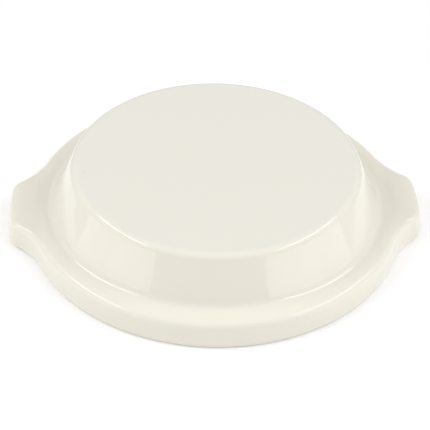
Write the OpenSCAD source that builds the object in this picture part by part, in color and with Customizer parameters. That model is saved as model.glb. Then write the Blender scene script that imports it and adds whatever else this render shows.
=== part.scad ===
// Round shallow dish with two ears, cast in one piece and glazed all over. It is drawn
// upside down, as it rests on its rim: the rim lies on z = 0, the flat base faces up,
// and X runs through both ears. The inside follows the outside at the ware's thickness.

/* [Rim] */
// Diameter of the round rim, without the ears
rim_d = 164; // [120:1:240]
// Height of the upright band, from the rim to the ledge
band_h = 12; // [9:0.5:20]
// How far the band leans in over its height
band_lean = 1; // [0.2:0.1:3]
// Rounding of the edge where the band turns into the ledge
ledge_edge_r = 2.7; // [1:0.1:4]
// Rounding of the rim's outer and inner edge
lip_r = 2; // [0.5:0.1:2.2]

/* [Ears] */
// How far each ear stands out past the round rim
ear_reach = 8.75; // [4:0.25:25]
// Width of an ear, across its two rounded corners
ear_w = 38; // [22:1:60]
// Radius of an ear's slightly bowed end
ear_end_r = 130; // [60:5:300]
// Radius of an ear's corners
ear_corner_r = 9.1; // [8:0.1:10]
// Radius of the hollows where an ear runs into the round rim
ear_hollow_r = 34; // [15:1:80]

/* [Body] */
// Height of the dish
dish_h = 32.5; // [26:0.5:60]
// Width of the ledge, from the rim's edge in to the foot of the wall
ledge_w = 10.5; // [10:0.5:20]
// How far the wall runs in between the ledge and the base
wall_run = 9.5; // [2:0.5:20]
// Rounding of the base's edge
base_edge_r = 4; // [1:0.5:8]
// Hollow fillet between the wall and the ledge
foot_r = 4; // [1:0.5:6]

/* [Ware] */
// Thickness of the wall, the ledge and the band
ware_t = 5.5; // [4.6:0.1:7]
// Thickness of the base
base_t = 6; // [3:0.5:10]
// Rounding round the floor of the well
floor_r = 8; // [2:0.5:12]
// Rounding of the shoulder, where the well opens out onto the inner shelf
shoulder_r = 6; // [1:0.5:7]
// Rounding of the corner between the inner shelf and the band
shelf_r = 2.4; // [1:0.1:3]

/* [Hidden] */
$fn = 144;

// Largest turn between two points of a rounded corner, in degrees
arc_step = 12;
// Largest turn and largest gap between two stations of the outline
station_turn = 8;
station_gap = 6;
// How far the hollow is cut past the rim
clear = 1;

rim_r = rim_d / 2;
wall_foot_r = rim_r - ledge_w;
base_r = wall_foot_r - wall_run;
shelf_h = band_h - ware_t;
floor_h = dish_h - base_t;

// The wall is a cone, and its inner face is a cone that lies ware_t inside it
wall_slope = wall_run / (dish_h - band_h);
wall_a = atan(wall_slope);
function inner_r(z) = base_r + wall_slope * (dish_h - z) - ware_t / cos(wall_a);

// Flat of the ledge and of the inner shelf, from the wall's rounding to the band's
foot_turn = (90 - wall_a) / 2;
ledge_flat = [wall_foot_r + foot_r * tan(foot_turn), rim_r - band_lean - ledge_edge_r];
shelf_lean = ware_t + band_lean * shelf_h / band_h;
shelf_round = min(shelf_r, 0.95 * (ear_corner_r - shelf_lean), shelf_h - lip_r);
shelf_flat = [inner_r(shelf_h) + shoulder_r * tan(foot_turn), rim_r - shelf_lean - shelf_round];

// The outline of an ear is a chain of arcs, each running smoothly into the next: the
// bowed end, a corner on each side, and a hollow that meets the round rim
end_c = [rim_r + ear_reach - ear_end_r, 0];
end_a = asin((ear_w / 2 - ear_corner_r) / (ear_end_r - ear_corner_r));
corner_c = end_c + (ear_end_r - ear_corner_r) * heading(end_a);
rim_to_hollow = rim_r + ear_hollow_r;
corner_to_hollow = ear_corner_r + ear_hollow_r;
meet_a = angle_of(corner_c) + angle_between(norm(corner_c), rim_to_hollow, corner_to_hollow);
hollow_c = rim_to_hollow * heading(meet_a);
corner_a = angle_of(hollow_c - corner_c);

// A quarter of the outline, from the middle of an ear's end to the middle of the rim
quarter = concat(
    stations(end_c, ear_end_r, 0, end_a),
    stations(corner_c, ear_corner_r, end_a, corner_a),
    stations(hollow_c, ear_hollow_r, corner_a + 180, meet_a + 180),
    stations([0, 0], rim_r, meet_a, 90)
);
flipped = [for (i = [len(quarter) - 1:-1:1]) quarter[i] * [[-1, 0], [0, 1]]];
half_outline = concat(quarter, [[[0, rim_r], [0, 1]]], flipped);
outline = [for (way = [1, -1], s = half_outline) way * s];

// Stations [point, outward normal] along an arc, without its last point. An arc that
// runs backwards is a hollow, with its centre outside the outline.
function stations(centre, r, from, to) =
    let (
        turn = abs(to - from),
        steps = ceil(max(turn / station_turn, turn * PI / 180 * r / station_gap)),
        side = to > from ? 1 : -1
    )
    [for (k = [0:steps - 1]) let (h = heading(from + (to - from) * k / steps))
        [centre + r * h, side * h]];

function heading(a) = [cos(a), sin(a)];
function angle_of(v) = atan2(v.y, v.x);
function unit(v) = v / norm(v);
function flat(p) = [p.x, p.y];
function middle(span) = (span[0] + span[1]) / 2;
// Angle of a triangle between its sides a and b, across from side c
function angle_between(a, b, c) = acos((a * a + b * b - c * c) / (2 * a * b));

// Path through the corners [x, y, radius], each rounded by its own radius
function rounded(path) = [
    for (i = [0:len(path) - 1])
        each path[i].z == 0 ? [flat(path[i])] : corner_arc(path[i - 1], path[i], path[i + 1])
];
function corner_arc(before, corner, after) =
    let (
        u = unit(flat(before) - flat(corner)),
        v = unit(flat(after) - flat(corner)),
        half = acos(u * v) / 2,
        r = corner.z,
        centre = flat(corner) + unit(u + v) * r / sin(half),
        from = angle_of(flat(corner) + u * r / tan(half) - centre),
        turn = 180 - 2 * half,
        way = u.x * v.y - u.y * v.x < 0 ? 1 : -1,
        steps = ceil(turn / arc_step)
    )
    [for (k = [0:steps]) centre + r * heading(from + way * turn * k / steps)];

// Quarter round of the lip, from an upright face at x down to the rim
function lip(x, way) = let (steps = ceil(90 / arc_step)) [
    for (k = [0:steps]) let (a = 90 * k / steps)
        [x - way * lip_r * (1 - cos(a)), lip_r * (1 - sin(a))]
];

// Edge of the outer slab, from the ledge down to the rim: x is measured out from the outline
band_edge = concat(
    corner_arc([-ear_corner_r, band_h], [-band_lean, band_h, ledge_edge_r], [0, lip_r]),
    lip(0, 1)
);

// Edge of the hollow between the shelf and the rim, which opens out past the lip
shelf_edge = concat(
    corner_arc([-ear_corner_r, shelf_h], [-shelf_lean, shelf_h, shelf_round], [-ware_t, lip_r]),
    lip(-ware_t, -1),
    [[lip_r - ware_t, -clear]]
);

// Slab whose edge runs round the whole outline, closed by a flat face above and below
module eared_slab(edge) {
    n = len(outline);
    last = len(edge) - 1;
    rings = [for (e = edge, s = outline) [each s[0] + s[1] * e.x, e.y]];
    caps = [[0, 0, edge[0].y], [0, 0, edge[last].y]];
    top = len(rings);
    sides = [for (k = [0:last - 1], i = [0:n - 1]) let (j = (i + 1) % n, a = k * n, b = a + n)
        each [[a + i, a + j, b + j], [a + i, b + j, b + i]]];
    ends = [for (i = [0:n - 1]) let (j = (i + 1) % n, b = last * n)
        each [[top, j, i], [top + 1, b + i, b + j]]];
    polyhedron(concat(rings, caps), concat(sides, ends), convexity = 6);
}

// Round body above the ledge, with its foot sunk into the slab
module body() {
    foot = middle(ledge_flat);
    rotate_extrude() polygon(rounded([
        [0, shelf_h, 0],
        [foot, shelf_h, 0],
        [foot, band_h, 0],
        [wall_foot_r, band_h, foot_r],
        [base_r, dish_h, base_edge_r],
        [0, dish_h, 0]
    ]));
}

// Round hollow of the well, open through the shelf and past the rim
module well() {
    mouth = middle(shelf_flat);
    rotate_extrude() polygon(rounded([
        [0, -clear, 0],
        [mouth, -clear, 0],
        [mouth, shelf_h, 0],
        [inner_r(shelf_h), shelf_h, shoulder_r],
        [inner_r(floor_h), floor_h, floor_r],
        [0, floor_h, 0]
    ]));
}

module dish() color("ivory") difference() {
    union() {
        eared_slab(band_edge);
        body();
    }
    eared_slab(shelf_edge);
    well();
}

dish();
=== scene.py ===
import math

import bpy
from mathutils import Matrix, Vector


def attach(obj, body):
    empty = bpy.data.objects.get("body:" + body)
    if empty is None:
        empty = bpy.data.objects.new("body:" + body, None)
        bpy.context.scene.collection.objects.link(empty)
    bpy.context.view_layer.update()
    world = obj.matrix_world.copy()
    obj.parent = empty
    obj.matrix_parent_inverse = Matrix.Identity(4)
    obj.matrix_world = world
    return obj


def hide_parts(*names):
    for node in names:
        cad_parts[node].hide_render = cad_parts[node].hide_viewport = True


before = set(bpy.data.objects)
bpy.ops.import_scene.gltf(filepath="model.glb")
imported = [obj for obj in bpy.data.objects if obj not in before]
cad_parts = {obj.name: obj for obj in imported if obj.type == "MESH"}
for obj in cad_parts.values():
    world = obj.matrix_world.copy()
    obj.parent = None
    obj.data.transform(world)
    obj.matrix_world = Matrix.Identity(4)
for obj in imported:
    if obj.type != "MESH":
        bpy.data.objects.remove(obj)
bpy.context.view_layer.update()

scene = bpy.context.scene
scene.view_settings.view_transform = "Standard"
mm = 0.001

# where the photograph was taken from: angles in degrees, distances in metres
cameraSet = {
    "elevation": 39.10,     # of the camera above the table, seen from the rim's centre
    "tiltDown": 38.89,      # of its view below the level
    "roll": 1.346,
    "turn": -3.870,         # of the camera round the dish
    "distance": 0.65695,
    "lens": 123.59, "sensor": 36.0,     # millimetres
    "nearest": 0.01,        # what stands nearer than this isn't seen
}


def addCamera():
    c = cameraSet
    e = math.radians(c["elevation"])
    turned = Matrix.Rotation(math.radians(c["turn"]), 4, "Z")
    tilted = Matrix.Rotation(math.radians(90 - c["tiltDown"]), 4, "X")
    rolled = Matrix.Rotation(math.radians(c["roll"]), 4, "Z")
    place = turned @ (Vector((0, -math.cos(e), math.sin(e))) * c["distance"])
    lens = bpy.data.cameras.new("photoCamera")
    lens.lens = c["lens"]
    lens.sensor_width = c["sensor"]
    lens.clip_start = c["nearest"]
    camera = bpy.data.objects.new("photoCamera", lens)
    scene.collection.objects.link(camera)
    camera.matrix_world = Matrix.Translation(place) @ turned @ tilted @ rolled
    scene.camera = camera


addCamera()
print("camera in place")


# a socket that can be added, taken away, multiplied and divided like a number
class Wire:
    def __init__(self, tree, socket):
        self.tree = tree
        self.socket = socket

    def math(self, operation, other=0.0):
        return self.tree.node("ShaderNodeMath", {"operation": operation}, [self, other])

    def __add__(self, other):
        return self.math("ADD", other)

    def __radd__(self, other):
        return self.math("ADD", other)

    def __sub__(self, other):
        return self.math("SUBTRACT", other)

    def __rsub__(self, other):
        return self.tree.node("ShaderNodeMath", {"operation": "SUBTRACT"}, [other, self])

    def __mul__(self, other):
        return self.math("MULTIPLY", other)

    def __rmul__(self, other):
        return self.math("MULTIPLY", other)

    def __truediv__(self, other):
        return self.math("DIVIDE", other)

    # 0 below low, 1 above high, smooth between
    def smooth(self, low, high):
        return self.tree.node("ShaderNodeMapRange", {"interpolation_type": "SMOOTHSTEP"},
                              [self, low, high, 0.0, 1.0])

    # 1 within reach of a value, falling smoothly to 0
    def near(self, value, reach):
        return 1 - (self - value).math("ABSOLUTE").smooth(0, reach)


# one material and its nodes
class Finish:
    def __init__(self, name):
        self.material = bpy.data.materials.new(name)
        self.material.use_nodes = True
        self.nodes = self.material.node_tree.nodes
        self.links = self.material.node_tree.links
        self.nodes.clear()

    def feed(self, socket, value):
        if isinstance(value, Wire):
            self.links.new(value.socket, socket)
        else:
            socket.default_value = value

    # any node, from its type, its settings and what goes into its sockets
    def node(self, kind, settings=None, sockets=None, out=0):
        node = self.nodes.new(kind)
        for key, value in (settings or {}).items():
            setattr(node, key, value)
        pairs = sockets.items() if isinstance(sockets, dict) else enumerate(sockets or [])
        for key, value in pairs:
            self.feed(node.inputs[key], value)
        return Wire(self, node.outputs[out] if node.outputs else None)

    def noise(self, place, pattern):
        scale, detail, roughness = pattern
        return self.node("ShaderNodeTexNoise", {"noise_dimensions": "3D"},
                         {"Vector": place, "Scale": scale, "Detail": detail, "Roughness": roughness})

    # the first colour turned into the second by a share; a Mix node has its colours in
    # sockets 6 and 7
    def tint(self, share, first, second):
        return self.node("ShaderNodeMix", {"data_type": "RGBA", "clamp_factor": True},
                         {0: share, 6: first, 7: second}, out=2)

    def end(self, shader):
        self.node("ShaderNodeOutputMaterial", None, {"Surface": shader})
        return self.material


# sizes of the dish in millimetres: R is a radius, H a height, W a width, T a thickness
dish = {
    "rimR": 82.0, "bandH": 12.0, "bandLean": 1.0, "ledgeEdgeR": 2.7, "lipR": 2.0,
    "earReach": 8.75, "earW": 38.0, "earEndR": 130.0, "earCornerR": 9.1, "earHollowR": 34.0,
    "height": 32.5, "ledgeW": 10.5, "wallRun": 9.5, "baseEdgeR": 4.0, "footR": 4.0,
    "wareT": 5.5, "baseT": 6.0, "floorR": 8.0, "shoulderR": 6.0, "shelfR": 2.4,
    "stations": (8, 14, 16, 66),    # steps round an ear's end, corner and hollow, and the rim
    "roundStep": 5.0,               # largest turn between two rings of a rounding, in degrees
    "ringGap": 2.6,                 # largest gap between two rings
    "onAxis": 0.01,                 # a ring smaller than this is a single point
    "merge": 0.002,                 # points closer than this become one
}
wallFootR = dish["rimR"] - dish["ledgeW"]
baseR = wallFootR - dish["wallRun"]


# points round the dish and the way out from each, from the middle of one ear
def outlineStations():
    d = dish
    rim, reach, endR, cornerR, hollowR = (
        d["rimR"], d["earReach"], d["earEndR"], d["earCornerR"], d["earHollowR"])
    endX = rim + reach - endR
    endA = math.asin((d["earW"] / 2 - cornerR) / (endR - cornerR))
    cornerX = endX + (endR - cornerR) * math.cos(endA)
    cornerY = (endR - cornerR) * math.sin(endA)
    far = math.hypot(cornerX, cornerY)
    toHollow, between = rim + hollowR, cornerR + hollowR
    meetA = math.atan2(cornerY, cornerX) + math.acos(
        (far ** 2 + toHollow ** 2 - between ** 2) / (2 * far * toHollow))
    hollowX, hollowY = toHollow * math.cos(meetA), toHollow * math.sin(meetA)
    cornerA = math.atan2(hollowY - cornerY, hollowX - cornerX)
    arcs = (
        (endX, 0, endR, 0, endA),
        (cornerX, cornerY, cornerR, endA, cornerA),
        (hollowX, hollowY, hollowR, cornerA + math.pi, meetA + math.pi),
        (0, 0, rim, meetA, math.pi / 2),
    )
    quarter = []
    for (x, y, r, start, stop), steps in zip(arcs, d["stations"]):
        way = 1 if stop > start else -1
        for k in range(steps):
            a = start + (stop - start) * k / steps
            quarter.append((x + r * math.cos(a), y + r * math.sin(a),
                            way * math.cos(a), way * math.sin(a)))
    flipped = [(-x, y, -u, v) for x, y, u, v in quarter[:0:-1]]
    half = quarter + [(0, rim, 0, 1)] + flipped
    return half + [(-x, -y, -u, -v) for x, y, u, v in half]


# corners of the section, from the middle of the base, over the rim, to the middle of the
# floor: radius, height, rounding, and the share that follows the ears
def sectionCorners():
    d = dish
    rim, top, ledgeH, lip, ware = d["rimR"], d["height"], d["bandH"], d["lipR"], d["wareT"]
    slope = d["wallRun"] / (top - ledgeH)
    shelfH = ledgeH - ware
    floorH = top - d["baseT"]
    lean = ware + d["bandLean"] * shelfH / ledgeH

    def inner(z):
        return baseR + slope * (top - z) - ware / math.cos(math.atan(slope))

    # the rim's roundings stop just short of the bend where the band turns upright
    bendH, bendR, rimRound = lip * 1.02, lip * 0.5, lip * 0.97
    return [
        (0, top, 0, 0),
        (baseR, top, d["baseEdgeR"], 0),
        (wallFootR, ledgeH, d["footR"], 0),
        (rim - d["bandLean"], ledgeH, d["ledgeEdgeR"], 1),
        (rim, bendH, bendR, 1),
        (rim, 0, rimRound, 1),
        (rim - ware, 0, rimRound, 1),
        (rim - ware, bendH, bendR, 1),
        (rim - lean, shelfH, d["shelfR"], 1),
        (inner(shelfH), shelfH, d["shoulderR"], 0),
        (inner(floorH), floorH, d["floorR"], 0),
        (0, floorH, 0, 0),
    ]


# the section's line with its corners rounded: points, each with its share
def roundedSection():
    corners = sectionCorners()
    path = []
    for i, (x, z, r, pull) in enumerate(corners):
        here = Vector((x, z))
        if r == 0:
            path.append((here, pull))
            continue
        u = (Vector(corners[i - 1][:2]) - here).normalized()
        v = (Vector(corners[i + 1][:2]) - here).normalized()
        half = math.acos(max(-1, min(1, u.dot(v)))) / 2
        centre = here + (u + v).normalized() * r / math.sin(half)
        start = here + u * r / math.tan(half) - centre
        turn = math.pi - 2 * half
        way = 1 if u.x * v.y - u.y * v.x < 0 else -1
        steps = max(2, math.ceil(math.degrees(turn) / dish["roundStep"]))
        for k in range(steps + 1):
            path.append((centre + Matrix.Rotation(way * turn * k / steps, 2) @ start, pull))
    return path


# the rings that the dish is made of: radius, height and share
def sectionRings():
    path = roundedSection()
    rings = [(path[0][0].x, path[0][0].y, path[0][1])]
    for (a, pa), (b, pb) in zip(path, path[1:]):
        parts = max(1, math.ceil((b - a).length / dish["ringGap"]))
        for k in range(1, parts + 1):
            t = k / parts
            if parts > 2:               # closer together next to the roundings
                if a.x == 0:
                    t = math.sin(math.pi / 2 * t)
                elif b.x == 0:
                    t = 1 - math.cos(math.pi / 2 * t)
                else:
                    t = (1 - math.cos(math.pi * t)) / 2
            p = a.lerp(b, t)
            rings.append((p.x, p.y, pa + (pb - pa) * t))
    return rings


# a point drawn out along the section, then spun into a plain round dish
def spinSection(rings, around):
    bpy.ops.object.select_all(action="DESELECT")
    bpy.ops.mesh.primitive_plane_add(size=mm, location=(0, 0, rings[0][1] * mm))
    body = bpy.context.active_object
    body.name = "dishBody"
    bpy.ops.object.transform_apply(location=True, rotation=True, scale=True)
    bpy.ops.object.mode_set(mode="EDIT")
    bpy.ops.mesh.select_mode(type="VERT")
    bpy.ops.mesh.select_all(action="SELECT")
    bpy.ops.mesh.merge(type="CENTER")
    for (x0, z0, _), (x1, z1, _) in zip(rings, rings[1:]):
        step = ((x1 - x0) * mm, 0, (z1 - z0) * mm)
        bpy.ops.mesh.extrude_region_move(TRANSFORM_OT_translate={"value": step})
    bpy.ops.object.mode_set(mode="OBJECT")

    # each point keeps the number of its ring through the spin
    ring = body.data.attributes.new("ring", "INT", "POINT")
    spots = [Vector((x, z)) * mm for x, z, _ in rings]
    for v in body.data.vertices:
        here = Vector((v.co.x, v.co.z))
        ring.data[v.index].value = min(range(len(spots)), key=lambda i: (spots[i] - here).length)
    bpy.ops.object.mode_set(mode="EDIT")
    bpy.ops.mesh.select_all(action="SELECT")
    bpy.ops.mesh.spin(steps=around, angle=2 * math.pi, center=(0, 0, 0), axis=(0, 0, 1))
    bpy.ops.mesh.select_all(action="SELECT")
    bpy.ops.mesh.remove_doubles(threshold=dish["merge"] * mm)
    bpy.ops.mesh.select_all(action="SELECT")
    bpy.ops.mesh.normals_make_consistent(inside=False)
    bpy.ops.object.mode_set(mode="OBJECT")
    return body


# the ledge, the band and the shelf drawn out into the ears
def drawEars(body, rings, stations):
    around = len(stations)
    ring = body.data.attributes["ring"]
    for v in body.data.vertices:
        r, z, pull = rings[ring.data[v.index].value]
        if r < dish["onAxis"]:
            v.co = (0, 0, z * mm)
            continue
        turn = math.atan2(v.co.y, v.co.x) / (2 * math.pi) * around
        x, y, outX, outY = stations[round(turn) % around]
        spot = Vector((x, y))
        plain = spot * r / math.hypot(x, y)
        paintedEarShade = spot - Vector((outX, outY)) * (dish["rimR"] - r)
        p = plain.lerp(paintedEarShade, pull)
        v.co = (p.x * mm, p.y * mm, z * mm)
    body.data.attributes.remove(body.data.attributes["ring"])


def makeDish():
    stations, rings = outlineStations(), sectionRings()
    body = spinSection(rings, len(stations))
    drawEars(body, rings, stations)
    bpy.ops.object.shade_smooth()
    return body


# ivory glaze: colours are linear, lengths are in millimetres, and a pattern is its scale,
# detail and roughness
glaze = {
    "ivory": (0.800, 0.768, 0.676, 1),
    "deep": (0.762, 0.716, 0.600, 1),       # where it gathers into soft clouds
    "cool": (0.796, 0.772, 0.703, 1),       # on the flat of the base
    "paintedLedgeLight": (0.840, 0.808, 0.714, 1),     # painted light on the ledge, lighter than the ivory
    "paintedEarShade": (0.752, 0.722, 0.635, 1),      # painted shade on the flat of the ears
    "thinGlazeAndHighlight": (0.842, 0.822, 0.752, 1),       # paler where it thins out over an edge, and a painted highlight along the edge
    "speck": (0.52, 0.46, 0.36, 1),         # pin-sized, under the glaze
    "clouds": (26, 3.0, 0.55), "cloudStart": 0.35, "cloudTint": 0.22,
    "drift": (78, 3.0, 0.5),
    "coolShare": (0.6, 0.5), "thinGlazeAndHighlightShare": (0.10, 0.25),     # at least, and more with the drift
    "speckScale": 130, "speckSize": (0.025, 0.06), "speckShare": 0.5,
    "chance": (71, 0.0, 0.5), "chanceShown": (0.66, 0.70),  # only some of the specks show
    "roughness": 0.34, "cloudRoughness": 0.08, "bodyShine": 0.1,
    "gloss": 0.025, "glossIor": 1.5,
    "wave": (34, 1.0, 0.5), "waveStrength": 0.10, "waveDepth": 0.6,
    "peel": (520, 1.0, 0.5), "peelStrength": 0.05, "peelDepth": 0.05,
    # where the colour changes, by the glaze itself or by painted light and shade: in from the rim
    # (inset) or the wall's foot (inside), out past the rim (past), down from the base or the ledge
    # (drop) or up from the ledge (rise), and how far it spreads sideways (reach) and up and down
    # (depth)
    "flatBase": {"drop": (0.5, 0.05)},
    "baseEdge": {"drop": (2.6, 0.4), "reach": 3.0},
    "ledgeEdge": {"drop": 0.8, "depth": 1.6, "inset": (3.6, 1.6)},
    "ledge": {"inset": 6.5, "reach": 7.0, "depth": 4.0, "strength": 1.6},
    "ear": {"inset": 8.0, "depth": 1.0, "past": (0.5, 6.0), "fade": 0.8},
    "fold": {"rise": 2.0, "depth": 1.6, "inside": (4.0, 2.5), "lostGloss": 0.35},
}


# the places where the colour or the gloss changes, each from 0 to 1; on the ledge, the ears and the
# edges this is painted light and shade
def glazePlaces(f, place):
    g, rim, top, ledgeH = glaze, dish["rimR"], dish["height"], dish["bandH"]
    split = f.nodes.new("ShaderNodeSeparateXYZ")
    f.feed(split.inputs[0], place)
    x, y, z = (Wire(f, socket) / mm for socket in split.outputs)     # millimetres
    far = (x * x + y * y).math("SQRT")
    out = x.math("ABSOLUTE")

    low, high = g["flatBase"]["drop"]
    flatBase = z.smooth(top - low, top - high)

    # the base's and the ledge's edges: thinner glaze, and a painted highlight along them
    edge = g["baseEdge"]
    low, high = edge["drop"]
    baseEdge = far.near(baseR, edge["reach"]) * z.smooth(top - low, top - high)

    edge = g["ledgeEdge"]
    inner, outer = edge["inset"]
    ledgeEdge = z.near(ledgeH - edge["drop"], edge["depth"]) * far.smooth(rim - inner, rim - outer)
    edges = (baseEdge + ledgeEdge).math("MINIMUM", 1.0)

    # painted light: a lighter band on the ledge, beside the wall's foot
    flat = g["ledge"]
    ledge = far.near(rim - flat["inset"], flat["reach"]) * z.near(ledgeH, flat["depth"])
    ledge = (ledge * flat["strength"]).math("MINIMUM", 1.0)

    # painted shade: the flat tops of the ears, fading towards their ends
    flat = g["ear"]
    inner, outer = flat["past"]
    ear = out.smooth(rim - flat["inset"], rim) * z.near(ledgeH, flat["depth"]) * (
        1 - flat["fade"] * out.smooth(rim + inner, rim + outer))

    hollow = g["fold"]
    inner, outer = hollow["inside"]
    fold = z.near(ledgeH + hollow["rise"], hollow["depth"]) * far.smooth(
        wallFootR - inner, wallFootR - outer)
    return flatBase, edges, ledge, ear, fold


def glazeFinish():
    g = glaze
    f = Finish("ivoryGlaze")
    place = f.node("ShaderNodeTexCoord", out=3)
    flatBase, edges, ledge, ear, fold = glazePlaces(f, place)
    cloud, drift = f.noise(place, g["clouds"]), f.noise(place, g["drift"])
    coolLeast, coolDrift = g["coolShare"]
    paleLeast, paleDrift = g["thinGlazeAndHighlightShare"]
    colour = f.tint((cloud - g["cloudStart"]) * g["cloudTint"], g["ivory"], g["deep"])
    colour = f.tint(flatBase * (coolLeast + coolDrift * drift), colour, g["cool"])
    # painted light: the ledge lightened
    colour = f.tint(ledge, colour, g["paintedLedgeLight"])
    # painted shade: the ears' flat tops darkened
    colour = f.tint(ear, colour, g["paintedEarShade"])
    # the edges paler where the glaze thins, with a painted highlight along them
    colour = f.tint(edges * (paleLeast + paleDrift * drift), colour, g["thinGlazeAndHighlight"])

    cells = f.node("ShaderNodeTexVoronoi", {"feature": "F1"},
                   {"Vector": place, "Scale": g["speckScale"]})
    shown = f.noise(place, g["chance"]).smooth(*g["chanceShown"])
    speck = (1 - cells.smooth(*g["speckSize"])) * shown
    colour = f.tint(speck * g["speckShare"], colour, g["speck"])

    wave, peel = f.noise(place, g["wave"]), f.noise(place, g["peel"])
    surface = f.node("ShaderNodeBump", None, {
        "Strength": g["waveStrength"], "Distance": g["waveDepth"] * mm, "Height": wave})
    surface = f.node("ShaderNodeBump", None, {
        "Strength": g["peelStrength"], "Distance": g["peelDepth"] * mm, "Height": peel,
        "Normal": surface})
    return f.end(f.node("ShaderNodeBsdfPrincipled", None, {
        "Base Color": colour,
        "Roughness": g["roughness"] + g["cloudRoughness"] * cloud,
        "Normal": surface,
        "Specular IOR Level": g["bodyShine"],
        "Coat Weight": 1 - g["fold"]["lostGloss"] * fold,
        "Coat Roughness": g["gloss"],
        "Coat IOR": g["glossIor"],
    }))


body = makeDish()
body.data.materials.append(glazeFinish())
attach(body, "root")
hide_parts("dish")
print("dish made:", len(body.data.polygons), "faces")

# the studio: azimuths are counted to the right from the camera, and a box's strength is
# its power over pi and its area
studio = {
    "sky": (0.575, 0.575, 0.575, 1),
    "floorColour": (0.88, 0.88, 0.88, 1),
    "floorGlow": 0.15,
    "floorR": 0.17, "floorSides": 180,      # of the small round table under the dish
    # the low boxes and the strips are mirrored in the glaze, the fills only lighten it
    "boxes": [
        {"name": "leftBox", "azimuth": -54.5, "elevation": 0, "distance": 1.1,
         "width": 0.61, "height": 0.41, "strength": 1.13, "mirrored": True},
        {"name": "leftBackBox", "azimuth": -83.5, "elevation": 0, "distance": 1.1,
         "width": 0.528, "height": 0.41, "strength": 0.80, "mirrored": True},
        {"name": "rightBox", "azimuth": 53.0, "elevation": 0, "distance": 1.1,
         "width": 0.766, "height": 0.41, "strength": 1.16, "mirrored": True},
        {"name": "rightBackBox", "azimuth": 83.8, "elevation": 0, "distance": 1.1,
         "width": 0.454, "height": 0.41, "strength": 0.80, "mirrored": True},
        {"name": "leftFill", "azimuth": -68, "elevation": 31, "distance": 1.1,
         "width": 1.24, "height": 0.84, "strength": 1.13, "mirrored": False},
        {"name": "rightFill", "azimuth": 64.6, "elevation": 31, "distance": 1.1,
         "width": 1.30, "height": 0.84, "strength": 1.09, "mirrored": False},
        {"name": "leftStrip", "azimuth": -89, "elevation": 52, "distance": 1.0,
         "width": 0.74, "height": 0.08, "strength": 8.2, "mirrored": True},
        {"name": "rightStrip", "azimuth": 88, "elevation": 53, "distance": 1.0,
         "width": 0.90, "height": 0.08, "strength": 7.6, "mirrored": True},
        {"name": "topBox", "azimuth": 0, "elevation": 90, "distance": 1.2,
         "width": 0.9, "height": 0.9, "strength": 0.25, "mirrored": True},
    ],
    # a dark card behind the camera, mirrored by the front of the wall
    "card": {"azimuth": -4, "distance": 1.3, "width": 2.2, "height": 2.2, "glow": 0.40},
}


# the way from the dish towards an azimuth and an elevation
def towards(azimuth, elevation):
    a, e = math.radians(azimuth + cameraSet["turn"]), math.radians(elevation)
    return Vector((math.sin(a) * math.cos(e), -math.cos(a) * math.cos(e), math.sin(e)))


# the camera sees a white sky, and everything else a grey one
def addSky():
    world = bpy.data.worlds.new("studioSky")
    scene.world = world
    world.use_nodes = True
    nodes, links = world.node_tree.nodes, world.node_tree.links
    nodes.clear()
    path = nodes.new("ShaderNodeLightPath")
    white = nodes.new("ShaderNodeBackground")
    white.inputs["Color"].default_value = (1, 1, 1, 1)
    grey = nodes.new("ShaderNodeBackground")
    grey.inputs["Color"].default_value = studio["sky"]
    mix = nodes.new("ShaderNodeMixShader")
    out = nodes.new("ShaderNodeOutputWorld")
    links.new(path.outputs["Is Camera Ray"], mix.inputs[0])
    links.new(grey.outputs[0], mix.inputs[1])
    links.new(white.outputs[0], mix.inputs[2])
    links.new(mix.outputs[0], out.inputs[0])


def addBox(box):
    way = towards(box["azimuth"], box["elevation"])
    lamp = bpy.data.lights.new(box["name"], "AREA")
    lamp.shape = "RECTANGLE"
    lamp.size, lamp.size_y = box["width"], box["height"]
    lamp.energy = box["strength"] * math.pi * box["width"] * box["height"]
    holder = bpy.data.objects.new(box["name"], lamp)
    scene.collection.objects.link(holder)
    holder.location = way * box["distance"]
    holder.rotation_euler = way.to_track_quat("Z", "Y").to_euler()
    holder.visible_camera = False
    holder.visible_glossy = box["mirrored"]


# a matt white floor, whose faint glow shows only to the camera and in the glaze
def addFloor():
    s = studio
    bpy.ops.object.select_all(action="DESELECT")
    bpy.ops.mesh.primitive_circle_add(
        vertices=s["floorSides"], radius=s["floorR"], fill_type="NGON")
    floor = bpy.context.active_object
    floor.name = "studioFloor"
    f = Finish("floorWhite")
    path = f.nodes.new("ShaderNodeLightPath")
    seen = Wire(f, path.outputs["Is Camera Ray"]) + Wire(f, path.outputs["Is Glossy Ray"])
    matt = f.node("ShaderNodeBsdfDiffuse", None, {"Color": s["floorColour"]})
    glow = f.node("ShaderNodeEmission", None, {"Strength": seen * s["floorGlow"]})
    floor.data.materials.append(f.end(f.node("ShaderNodeAddShader", None, [matt, glow])))


# a card that is seen only in the glaze
def addCard():
    c = studio["card"]
    bpy.ops.object.select_all(action="DESELECT")
    bpy.ops.mesh.primitive_plane_add(size=1)
    card = bpy.context.active_object
    card.name = "darkCard"
    card.dimensions = (c["width"], c["height"], 0)
    way = towards(c["azimuth"], 0)
    card.rotation_euler = way.to_track_quat("Z", "Y").to_euler()
    card.location = way * c["distance"] + Vector((0, 0, c["height"] / 2))
    f = Finish("cardGrey")
    card.data.materials.append(f.end(f.node("ShaderNodeEmission", None, {"Strength": c["glow"]})))
    card.visible_camera = False


addSky()
for box in studio["boxes"]:
    addBox(box)
addFloor()
addCard()
print("studio lit")
